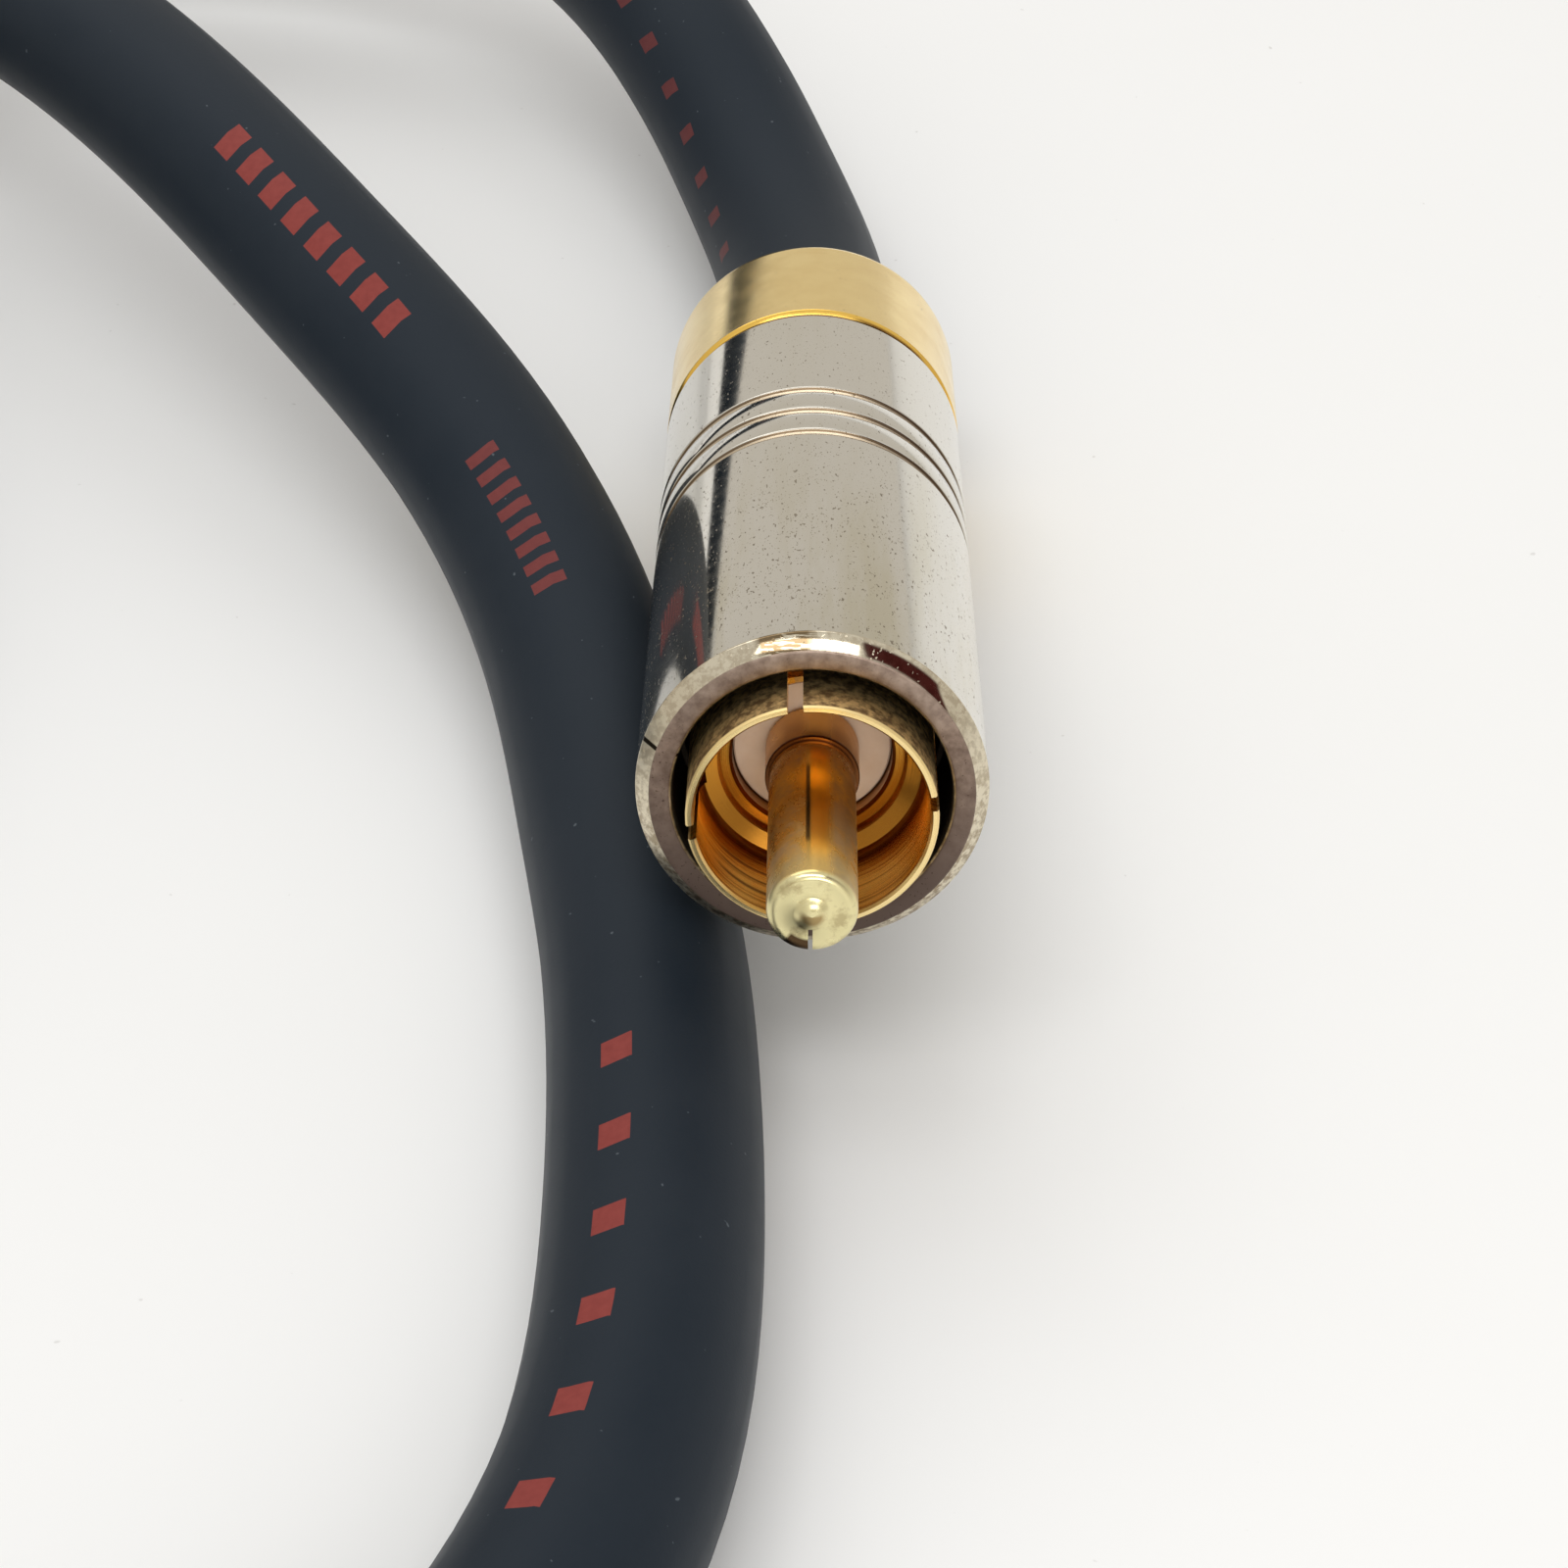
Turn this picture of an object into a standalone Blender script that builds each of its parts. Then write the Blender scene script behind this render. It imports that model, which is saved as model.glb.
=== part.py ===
"""Digital coaxial cable: a thick jacketed coax lead with a phono plug on each end.

Metres, +Z up, lying on the surface z = 0. The near plug points its pin towards -Y and leans
on the lead, so its front is raised, and the origin is under the middle of that plug. The lead
leaves the near plug towards +Y, is wound into a flat coil of three turns, comes back under the
near plug's front and ends in the far plug, which lies on the coil.

Every piece of a plug is turned about the plug's axis, which is the local Y axis of an empty.
Local y = 0 is the rear face, where the lead comes out, and the pin points towards local -Y.
"""

import math

import bmesh
import bpy
import numpy as np
from mathutils import Vector

MM = 0.001

# Clearances between pieces
FIT_GAP = 0.3 * MM

# Lead: jacket, braid, foamed dielectric and core
CABLE_DIAMETER = 8.0 * MM
JACKET_WALL = 1.0 * MM
BRAID_WALL = 0.3 * MM
CORE_DIAMETER = 1.0 * MM

# Barrel, the silver shell of the plug. Its rear wall takes a share of the room round the lead,
# and the clamp inside has the rest.
BARREL_DIAMETER = 13.0 * MM
BARREL_LENGTH = 31.1 * MM
BARREL_CHAMFER = 0.55 * MM
BARREL_REAR_CHAMFER = 0.2 * MM
MOUTH_DIAMETER = 10.3 * MM
MOUTH_DEPTH = 5.6 * MM
MOUTH_CHAMFER = 0.1 * MM
THREAD_LAND_LENGTH = 6.4 * MM
REAR_WALL_SHARE = 1.0 / 1.9
GROOVE_COUNT = 3
GROOVE_FIRST = 18.4 * MM
GROOVE_PITCH = 2.15 * MM
GROOVE_WIDTH = 0.6 * MM
GROOVE_FLOOR = 0.2 * MM
GROOVE_DEPTH = 0.35 * MM

# Rear collar, with the spigot that goes into the barrel
COLLAR_LENGTH = 8.75 * MM
COLLAR_EDGE_RADIUS = 1.0 * MM
COLLAR_FRONT_CHAMFER = 0.25 * MM
SPIGOT_LENGTH = 5.6 * MM

# Ground ring, the slotted contact and its body
RING_DIAMETER = 9.2 * MM
RING_WALL = 0.3 * MM
RING_REACH = 1.6 * MM
RING_BORE_DEPTH = 3.7 * MM
RING_CONE_DEPTH = 1.2 * MM
RING_LIP_LENGTH = 1.1 * MM
RING_SEAT_WALL = 0.7 * MM
RING_FLANGE_LENGTH = 1.2 * MM
RING_NECK_CLEARANCE = 0.5 * MM
RING_NECK_LENGTH = 1.5 * MM
TAIL_LENGTH = 4.6 * MM
TAIL_WALL = 0.6 * MM
SLOT_COUNT = 4
SLOT_WIDTH = 0.58 * MM
SLOT_LENGTH = 5.5 * MM
SLOT_TURN = math.radians(8.0)

# Pin insulator
INSULATOR_FACE = 3.9 * MM
INSULATOR_NOSE_DIAMETER = 5.4 * MM
INSULATOR_NOSE_LENGTH = 0.8 * MM
INSULATOR_LENGTH = 10.3 * MM

# Centre pin, with the solder cup at its rear
PIN_DIAMETER = 3.2 * MM
PIN_REACH = 8.4 * MM
PIN_TIP_RADIUS = 0.4 * MM
PIN_SHOULDER_DIAMETER = 3.5 * MM
PIN_SHOULDER_LENGTH = 2.2 * MM
PIN_SHANK_DIAMETER = 2.4 * MM
PIN_SLIT_WIDTH = 0.3 * MM
PIN_SLIT_LENGTH = 5.0 * MM
CUP_DIAMETER = 3.4 * MM
CUP_LENGTH = 3.8 * MM
CUP_BORE = 2.0 * MM
CUP_DEPTH = 3.0 * MM

# Cable clamp and insulating liner inside the barrel
CLAMP_LENGTH = 4.5 * MM
CLAMP_SPLIT = 0.8 * MM
LINER_WALL = 0.3 * MM
LINER_LAP = 0.9 * MM

# How much of each layer of the lead is bared, from the end of the layer around it
JACKET_INSIDE_EXIT = 2.0 * MM
BRAID_BARE = 3.9 * MM
CORE_IN_CUP = 2.7 * MM

# Where the near plug lies: its rear edge on the surface, its front leaning on the lead
NEAR_TILT = math.radians(10.7)
NEAR_EXIT_Y = 23.33 * MM

# Where the far plug lies: level, on top of the coil
FAR_EXIT_X = -65.0 * MM
FAR_EXIT_Y = 53.2 * MM
FAR_HEADING = math.radians(188.0)

# Coil of three turns side by side
COIL_CENTRE_X = -90.4 * MM
COIL_CENTRE_Y = 7.5 * MM
COIL_INNER_TURN_RADIUS = 29.0 * MM
COIL_STEPS = 56
COIL_FACET = math.radians(30.0)
FLOOR_GAP = 0.05 * MM

# Points along the lead where it isn't coiled, in millimetres
NEAR_ROUTE = [
    (-1.3, 37.2, 4.9),
    (-2.9, 42.5, 5.7),
    (-4.7, 47.0, 7.1),
    (-6.7, 51.0, 8.5),
    (-9.0, 55.0, 9.7),
    (-13.6, 61.1, 11.0),
    (-20.5, 66.4, 11.9),
    (-30.0, 69.9, 12.2),
    (-42.0, 70.8, 12.3),
    (-55.0, 69.6, 12.4),
    (-68.0, 67.3, 12.4),
    (-82.0, 64.5, 12.4),
    (-96.2, 61.4, 12.4),
    (-108.6, 57.3, 12.4),
    (-118.6, 50.8, 12.4),
    (-126.6, 41.7, 12.4),
]
FAR_ROUTE = [
    (-105.6, -44.6, 4.05),
    (-90.5, -53.2, 4.05),
    (-73.0, -60.0, 4.05),
    (-54.0, -64.3, 4.05),
    (-37.0, -65.2, 4.05),
    (-22.5, -60.9, 4.05),
    (-12.6, -52.3, 4.05),
    (-7.0, -41.5, 4.1),
    (-5.6, -27.5, 4.1),
    (-6.5, -14.6, 4.15),
    (-8.0, -5.9, 4.2),
    (-9.8, 2.5, 5.0),
    (-12.6, 10.2, 6.5),
    (-16.6, 17.2, 8.3),
    (-22.8, 25.2, 10.7),
    (-30.1, 34.3, 12.9),
    (-39.4, 44.2, 14.4),
    (-49.9, 51.4, 14.8),
]
ROUTE_SPACING = 2.0 * CABLE_DIAMETER
STRAIGHT_AT_NEAR_PLUG = 4.0 * MM
STRAIGHT_AT_FAR_PLUG = 1.0 * MM
FINE_STEPS = 40

# Facets
TURN_STEPS = 32
INNER_STEPS = 24
SMALL_STEPS = 16
SMOOTH_ANGLE = math.radians(35.0)

# Sizes that follow from those above
CABLE_RADIUS = CABLE_DIAMETER / 2
BARREL_RADIUS = BARREL_DIAMETER / 2
CABLE_BORE_RADIUS = CABLE_RADIUS + FIT_GAP
ROOM_ROUND_CABLE = BARREL_RADIUS - CABLE_BORE_RADIUS - FIT_GAP
BARREL_BORE_RADIUS = BARREL_RADIUS - ROOM_ROUND_CABLE * REAR_WALL_SHARE
RING_RADIUS = RING_DIAMETER / 2
LAND_RADIUS = RING_RADIUS + FIT_GAP
LAND_END = MOUTH_DEPTH + THREAD_LAND_LENGTH
BODY_LENGTH = BARREL_LENGTH + FIT_GAP + COLLAR_LENGTH
COLLAR_FRONT = BARREL_LENGTH + FIT_GAP
SPIGOT_FRONT = COLLAR_FRONT - SPIGOT_LENGTH
INNER_SLEEVE_RADIUS = BARREL_BORE_RADIUS - FIT_GAP
NECK_RADIUS = INNER_SLEEVE_RADIUS - LINER_WALL - RING_NECK_CLEARANCE
JACKET_BORE_RADIUS = CABLE_RADIUS - JACKET_WALL
BRAID_RADIUS = JACKET_BORE_RADIUS - FIT_GAP
DIELECTRIC_RADIUS = BRAID_RADIUS - BRAID_WALL - FIT_GAP
INSULATOR_BODY_FRONT = INSULATOR_FACE + INSULATOR_NOSE_LENGTH
INSULATOR_REAR = INSULATOR_FACE + INSULATOR_LENGTH
SEAT_RADIUS = RING_RADIUS - RING_SEAT_WALL
FLANGE_FRONT = LAND_END + FIT_GAP
FLANGE_REAR = FLANGE_FRONT + RING_FLANGE_LENGTH
NECK_REAR = FLANGE_REAR + RING_NECK_LENGTH
TAIL_RADIUS = BRAID_RADIUS + FIT_GAP
TAIL_REAR = NECK_REAR + TAIL_LENGTH
JACKET_FRONT = TAIL_REAR + FIT_GAP
CUP_FRONT = INSULATOR_REAR + FIT_GAP
CUP_REAR = CUP_FRONT + CUP_LENGTH
LAYERS_REAR = BODY_LENGTH - JACKET_INSIDE_EXIT
CLAMP_REAR = SPIGOT_FRONT - FIT_GAP
CLAMP_FRONT = CLAMP_REAR - CLAMP_LENGTH
COIL_MIDDLE_TURN_RADIUS = COIL_INNER_TURN_RADIUS + CABLE_DIAMETER
COIL_OUTER_TURN_RADIUS = COIL_MIDDLE_TURN_RADIUS + CABLE_DIAMETER
COIL_TOP = FLOOR_GAP + CABLE_DIAMETER


def clear_objects():
    for old in list(bpy.data.objects):
        bpy.data.objects.remove(old, do_unlink=True)


def material(name, colour, metallic, roughness):
    """One Principled material for each finish, shared by the pieces that have it."""
    found = bpy.data.materials.get(name)
    if found:
        return found
    made = bpy.data.materials.new(name)
    made.use_nodes = True
    shader = made.node_tree.nodes["Principled BSDF"]
    shader.inputs["Base Color"].default_value = (*colour, 1.0)
    shader.inputs["Metallic"].default_value = metallic
    shader.inputs["Roughness"].default_value = roughness
    made.diffuse_color = (*colour, 1.0)
    return made


def silver_plate():
    return material("silver_plate", (0.60, 0.58, 0.53), 1.0, 0.15)


def gold_plate():
    return material("gold_plate", (0.85, 0.62, 0.25), 1.0, 0.22)


def white_plastic():
    return material("white_plastic", (0.86, 0.82, 0.76), 0.0, 0.5)


def jacket_rubber():
    return material("jacket_rubber", (0.022, 0.030, 0.042), 0.0, 0.6)


def copper_wire():
    return material("copper_wire", (0.72, 0.38, 0.24), 1.0, 0.35)


def clear_liner():
    return material("clear_liner", (0.55, 0.50, 0.40), 0.0, 0.4)


def local(station):
    """Local y of a station measured back from the barrel's front face."""
    return station - BODY_LENGTH


def link(name, mesh, finish, parent):
    made = bpy.data.objects.new(name, mesh)
    bpy.context.collection.objects.link(made)
    made.parent = parent
    mesh.materials.append(finish)
    return made


def smooth(mesh):
    mesh.shade_smooth()
    mesh.set_sharp_from_angle(angle=SMOOTH_ANGLE)


def turned(name, outline, finish, parent, steps=TURN_STEPS):
    """Turn a closed outline of (radius, station) points about the plug's axis."""
    shape = bmesh.new()
    loop = [shape.verts.new((radius, local(station), 0.0)) for radius, station in outline]
    edges = [shape.edges.new((a, b)) for a, b in zip(loop, loop[1:] + loop[:1])]
    bmesh.ops.spin(
        shape,
        geom=[*loop, *edges],
        cent=(0, 0, 0),
        axis=(0, 1, 0),
        angle=2 * math.pi,
        steps=steps,
        use_merge=True,
    )
    bmesh.ops.remove_doubles(shape, verts=shape.verts, dist=0.001 * MM)
    bmesh.ops.dissolve_degenerate(shape, dist=0.001 * MM, edges=shape.edges)
    loose = [edge for edge in shape.edges if not edge.link_faces]
    bmesh.ops.delete(shape, geom=loose, context="EDGES")
    bmesh.ops.recalc_face_normals(shape, faces=shape.faces)
    mesh = bpy.data.meshes.new(name)
    shape.to_mesh(mesh)
    shape.free()
    smooth(mesh)
    return link(name, mesh, finish, parent)


def tube_outline(inner, outer, front, rear):
    return [(inner, front), (outer, front), (outer, rear), (inner, rear)]


def rod_outline(radius, front, rear):
    return [(0, front), (radius, front), (radius, rear), (0, rear)]


def box_cutter(name, low, high, parent, turn=0.0):
    """A box that only cuts, turned about the plug's axis."""
    shape = bmesh.new()
    bmesh.ops.create_cube(shape, size=1.0)
    size, middle = [high[k] - low[k] for k in range(3)], [(high[k] + low[k]) / 2 for k in range(3)]
    bmesh.ops.scale(shape, vec=size, verts=shape.verts)
    bmesh.ops.translate(shape, vec=middle, verts=shape.verts)
    mesh = bpy.data.meshes.new(name)
    shape.to_mesh(mesh)
    shape.free()
    made = bpy.data.objects.new(name, mesh)
    bpy.context.collection.objects.link(made)
    made.parent = parent
    made.rotation_euler = (0, turn, 0)
    made.hide_render = True
    made.display_type = "WIRE"
    return made


def cut(piece, cutter):
    modifier = piece.modifiers.new(f"cut_{cutter.name}", "BOOLEAN")
    modifier.operation = "DIFFERENCE"
    modifier.solver = "EXACT"
    modifier.object = cutter


def groove_points():
    """The three grip grooves, as steps in the barrel's outer line."""
    points = []
    for k in range(GROOVE_COUNT):
        middle = GROOVE_FIRST + k * GROOVE_PITCH
        floor = BARREL_RADIUS - GROOVE_DEPTH
        points += [
            (BARREL_RADIUS, middle - GROOVE_WIDTH / 2),
            (floor, middle - GROOVE_FLOOR / 2),
            (floor, middle + GROOVE_FLOOR / 2),
            (BARREL_RADIUS, middle + GROOVE_WIDTH / 2),
        ]
    return points


def make_barrel(side, parent):
    """Turned brass shell: plated mouth, thread land for the ground body, bored rear."""
    mouth = MOUTH_DIAMETER / 2
    outline = [
        (mouth, MOUTH_CHAMFER),
        (mouth + MOUTH_CHAMFER, 0.0),
        (BARREL_RADIUS - BARREL_CHAMFER, 0.0),
        (BARREL_RADIUS, BARREL_CHAMFER),
        *groove_points(),
        (BARREL_RADIUS, BARREL_LENGTH - BARREL_REAR_CHAMFER),
        (BARREL_RADIUS - BARREL_REAR_CHAMFER, BARREL_LENGTH),
        (BARREL_BORE_RADIUS, BARREL_LENGTH),
        (BARREL_BORE_RADIUS, LAND_END),
        (LAND_RADIUS, LAND_END),
        (LAND_RADIUS, MOUTH_DEPTH),
        (mouth, MOUTH_DEPTH),
    ]
    turned(f"{side}_barrel", outline, silver_plate(), parent)


def make_rear_collar(side, parent):
    """Gold collar nut: round rear edge, and a spigot that screws into the barrel."""
    outline = [
        (CABLE_BORE_RADIUS, SPIGOT_FRONT),
        (INNER_SLEEVE_RADIUS, SPIGOT_FRONT),
        (INNER_SLEEVE_RADIUS, COLLAR_FRONT),
        (BARREL_RADIUS - COLLAR_FRONT_CHAMFER, COLLAR_FRONT),
        (BARREL_RADIUS, COLLAR_FRONT + COLLAR_FRONT_CHAMFER),
    ]
    edge_steps = 4
    for k in range(edge_steps + 1):
        angle = math.radians(90.0) * k / edge_steps
        outline.append(
            (
                BARREL_RADIUS - COLLAR_EDGE_RADIUS * (1 - math.cos(angle)),
                BODY_LENGTH - COLLAR_EDGE_RADIUS * (1 - math.sin(angle)),
            )
        )
    outline.append((CABLE_BORE_RADIUS, BODY_LENGTH))
    turned(f"{side}_rear_collar", outline, gold_plate(), parent)


def make_ground_ring(side, parent):
    """Slotted ground contact, its cone bore, thread, flange and solder tail, turned as one."""
    front = -RING_REACH
    bore = RING_RADIUS - RING_WALL
    lip = INSULATOR_NOSE_DIAMETER / 2 + FIT_GAP
    cone_front = front + RING_BORE_DEPTH
    cone_rear = cone_front + RING_CONE_DEPTH
    seat_front = cone_rear + RING_LIP_LENGTH
    seat_rear = INSULATOR_REAR + FIT_GAP
    outline = [
        (bore, front),
        (RING_RADIUS, front),
        (RING_RADIUS, FLANGE_FRONT),
        (INNER_SLEEVE_RADIUS, FLANGE_FRONT),
        (INNER_SLEEVE_RADIUS, FLANGE_REAR),
        (NECK_RADIUS, FLANGE_REAR),
        (NECK_RADIUS, NECK_REAR),
        (TAIL_RADIUS + TAIL_WALL, NECK_REAR),
        (TAIL_RADIUS + TAIL_WALL, TAIL_REAR),
        (TAIL_RADIUS, TAIL_REAR),
        (TAIL_RADIUS, seat_rear),
        (SEAT_RADIUS, seat_rear),
        (SEAT_RADIUS, seat_front),
        (lip, seat_front),
        (lip, cone_rear),
        (bore, cone_front),
    ]
    ring = turned(f"{side}_ground_ring", outline, gold_plate(), parent)
    for k in range(SLOT_COUNT):
        slot = box_cutter(
            f"{side}_ring_slot_{k + 1}",
            (-SLOT_WIDTH / 2, local(front - FIT_GAP), bore - RING_WALL),
            (SLOT_WIDTH / 2, local(front + SLOT_LENGTH), RING_RADIUS + FIT_GAP),
            parent,
            turn=-SLOT_TURN + 2 * math.pi * k / SLOT_COUNT,
        )
        cut(ring, slot)
    reach = TAIL_RADIUS + TAIL_WALL + FIT_GAP
    open_top = box_cutter(
        f"{side}_tail_open_top",
        (-reach, local(NECK_REAR), 0.0),
        (reach, local(TAIL_REAR + FIT_GAP), reach),
        parent,
    )
    cut(ring, open_top)


def make_insulator(side, parent):
    """White insulator: its nose shows round the pin, its body fills the ground body's bore."""
    bore = PIN_SHANK_DIAMETER / 2 + FIT_GAP
    nose = INSULATOR_NOSE_DIAMETER / 2
    body = SEAT_RADIUS - FIT_GAP
    outline = [
        (bore, INSULATOR_FACE),
        (nose, INSULATOR_FACE),
        (nose, INSULATOR_BODY_FRONT),
        (body, INSULATOR_BODY_FRONT),
        (body, INSULATOR_REAR),
        (bore, INSULATOR_REAR),
    ]
    turned(f"{side}_pin_insulator", outline, white_plastic(), parent)


def make_center_pin(side, parent):
    """Split pin with a domed tip, a shoulder on the insulator's face and a solder cup."""
    radius = PIN_DIAMETER / 2
    tip = -PIN_REACH
    shoulder_rear = INSULATOR_FACE - FIT_GAP
    shoulder_front = shoulder_rear - PIN_SHOULDER_LENGTH
    outline = [(0.0, tip), (radius - PIN_TIP_RADIUS, tip)]
    tip_steps = 4
    for k in range(1, tip_steps + 1):
        angle = math.radians(90.0) * k / tip_steps
        outline.append(
            (
                radius - PIN_TIP_RADIUS * (1 - math.sin(angle)),
                tip + PIN_TIP_RADIUS * (1 - math.cos(angle)),
            )
        )
    outline += [
        (radius, shoulder_front),
        (PIN_SHOULDER_DIAMETER / 2, shoulder_front),
        (PIN_SHOULDER_DIAMETER / 2, shoulder_rear),
        (PIN_SHANK_DIAMETER / 2, shoulder_rear),
        (PIN_SHANK_DIAMETER / 2, CUP_FRONT),
        (CUP_DIAMETER / 2, CUP_FRONT),
        (CUP_DIAMETER / 2, CUP_REAR),
        (CUP_BORE / 2, CUP_REAR),
        (CUP_BORE / 2, CUP_REAR - CUP_DEPTH),
        (0.0, CUP_REAR - CUP_DEPTH),
    ]
    pin = turned(f"{side}_center_pin", outline, gold_plate(), parent, INNER_STEPS)
    slit = box_cutter(
        f"{side}_pin_slit",
        (-PIN_SLIT_WIDTH / 2, local(tip - FIT_GAP), -radius - FIT_GAP),
        (PIN_SLIT_WIDTH / 2, local(tip + PIN_SLIT_LENGTH), 0.0),
        parent,
    )
    cut(pin, slit)


def make_cable_clamp(side, parent):
    """Split brass sleeve that grips the jacket in front of the collar's spigot."""
    outline = tube_outline(CABLE_BORE_RADIUS, INNER_SLEEVE_RADIUS, CLAMP_FRONT, CLAMP_REAR)
    clamp = turned(f"{side}_cable_clamp", outline, gold_plate(), parent, INNER_STEPS)
    split = box_cutter(
        f"{side}_clamp_split",
        (-CLAMP_SPLIT / 2, local(CLAMP_FRONT - FIT_GAP), 0.0),
        (CLAMP_SPLIT / 2, local(CLAMP_REAR + FIT_GAP), INNER_SLEEVE_RADIUS + FIT_GAP),
        parent,
    )
    cut(clamp, split)


def make_inner_liner(side, parent):
    """Thin insulating sleeve between the solder joints and the barrel."""
    outline = tube_outline(
        INNER_SLEEVE_RADIUS - LINER_WALL,
        INNER_SLEEVE_RADIUS,
        NECK_REAR - LINER_LAP,
        CLAMP_FRONT - FIT_GAP,
    )
    turned(f"{side}_inner_liner", outline, clear_liner(), parent, INNER_STEPS)


def make_lead_end(side, parent):
    """The stripped end of the lead: jacket, braid, dielectric and core, each cut back in turn."""
    jacket = tube_outline(JACKET_BORE_RADIUS, CABLE_RADIUS, JACKET_FRONT, LAYERS_REAR)
    turned(f"{side}_jacket_end", jacket, jacket_rubber(), parent, INNER_STEPS)
    braid_front = JACKET_FRONT - BRAID_BARE
    braid = tube_outline(BRAID_RADIUS - BRAID_WALL, BRAID_RADIUS, braid_front, LAYERS_REAR)
    turned(f"{side}_braid_end", braid, copper_wire(), parent, INNER_STEPS)
    core_radius = CORE_DIAMETER / 2
    foam = tube_outline(
        core_radius + FIT_GAP, DIELECTRIC_RADIUS, CUP_REAR + FIT_GAP, LAYERS_REAR
    )
    turned(f"{side}_dielectric_end", foam, white_plastic(), parent, SMALL_STEPS)
    core = rod_outline(core_radius, CUP_REAR - CORE_IN_CUP, LAYERS_REAR)
    turned(f"{side}_core_wire", core, copper_wire(), parent, SMALL_STEPS)


def make_plug(side, place, rotation):
    """All pieces of one plug, on an empty at the point where the lead leaves it."""
    frame = bpy.data.objects.new(f"{side}_plug_frame", None)
    bpy.context.collection.objects.link(frame)
    frame.location = place
    frame.rotation_euler = rotation
    make_barrel(side, frame)
    make_rear_collar(side, frame)
    make_ground_ring(side, frame)
    make_insulator(side, frame)
    make_center_pin(side, frame)
    make_cable_clamp(side, frame)
    make_inner_liner(side, frame)
    make_lead_end(side, frame)


def near_exit():
    """The near plug's rear centre, at the height that sets its rear edge on the surface."""
    height = (
        COLLAR_EDGE_RADIUS * (1 - math.sin(NEAR_TILT))
        + (BARREL_RADIUS - COLLAR_EDGE_RADIUS) * math.cos(NEAR_TILT)
    )
    return Vector((0.0, NEAR_EXIT_Y, height))


def near_rearward():
    return Vector((0.0, math.cos(NEAR_TILT), -math.sin(NEAR_TILT)))


def far_exit():
    """The far plug's rear centre, with the barrel lying on the coil."""
    return Vector((FAR_EXIT_X, FAR_EXIT_Y, COIL_TOP + FIT_GAP + BARREL_RADIUS))


def far_rearward():
    return Vector((-math.cos(FAR_HEADING), -math.sin(FAR_HEADING), 0.0))


def smooth_curve(points):
    """A natural cubic spline through the points, finely sampled."""
    through = np.array([tuple(p) for p in points])
    knots = np.concatenate([[0.0], np.cumsum(np.linalg.norm(np.diff(through, axis=0), axis=1))])
    step = np.diff(knots)
    count = len(knots)
    system, right = np.zeros((count, count)), np.zeros((count, 3))
    system[0, 0] = system[-1, -1] = 1.0
    for k in range(1, count - 1):
        system[k, k - 1 : k + 2] = step[k - 1], 2 * (step[k - 1] + step[k]), step[k]
        slopes = np.diff(through[k - 1 : k + 2], axis=0) / step[k - 1 : k + 1, None]
        right[k] = 6 * (slopes[1] - slopes[0])
    bend = np.linalg.solve(system, right)
    fine = []
    for k in range(count - 1):
        for at in np.linspace(0.0, step[k], FINE_STEPS, endpoint=k == count - 2):
            left, rest = at, step[k] - at
            fine.append(
                (bend[k] * rest**3 + bend[k + 1] * left**3) / (6 * step[k])
                + (through[k] / step[k] - bend[k] * step[k] / 6) * rest
                + (through[k + 1] / step[k] - bend[k + 1] * step[k] / 6) * left
            )
    return np.array(fine)


def evenly(line, spacing):
    """Points along a fine line, about the given distance apart."""
    along = np.concatenate([[0.0], np.cumsum(np.linalg.norm(np.diff(line, axis=0), axis=1))])
    count = max(2, round(along[-1] / spacing) + 1)
    at = np.linspace(0.0, along[-1], count)
    return np.stack([np.interp(at, along, line[:, k]) for k in range(3)], axis=1)


def make_run(name, lead_in, route, lead_out):
    """A stretch of the lead that isn't coiled, as a tube along its route.

    The straight lengths at a plug stay straight, from their first point to their last.
    """
    points = [*lead_in, *[Vector(p) * MM for p in route], *lead_out]
    first = max(len(lead_in) - 1, 0)
    last = len(points) - max(len(lead_out), 1)
    between = smooth_curve(points)[FINE_STEPS * first : FINE_STEPS * last + 1]
    line = [*lead_in[:1], *evenly(between, ROUTE_SPACING), *lead_out[-1:]]
    curve = bpy.data.curves.new(name, "CURVE")
    curve.dimensions = "3D"
    curve.bevel_depth = CABLE_RADIUS
    curve.bevel_resolution = 4
    curve.use_fill_caps = True
    spline = curve.splines.new("POLY")
    spline.points.add(len(line) - 1)
    for point, place in zip(spline.points, line):
        point.co = (*place, 1.0)
    made = bpy.data.objects.new(name, curve)
    bpy.context.collection.objects.link(made)
    curve.materials.append(jacket_rubber())


def straight_from(exit_point, rearward, length):
    """The straight start of the lead: inside the collar, at its face and clear of it."""
    inside = JACKET_INSIDE_EXIT - FIT_GAP
    stations = (-inside, 0.0, length)
    return [exit_point + rearward * at for at in stations]


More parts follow.
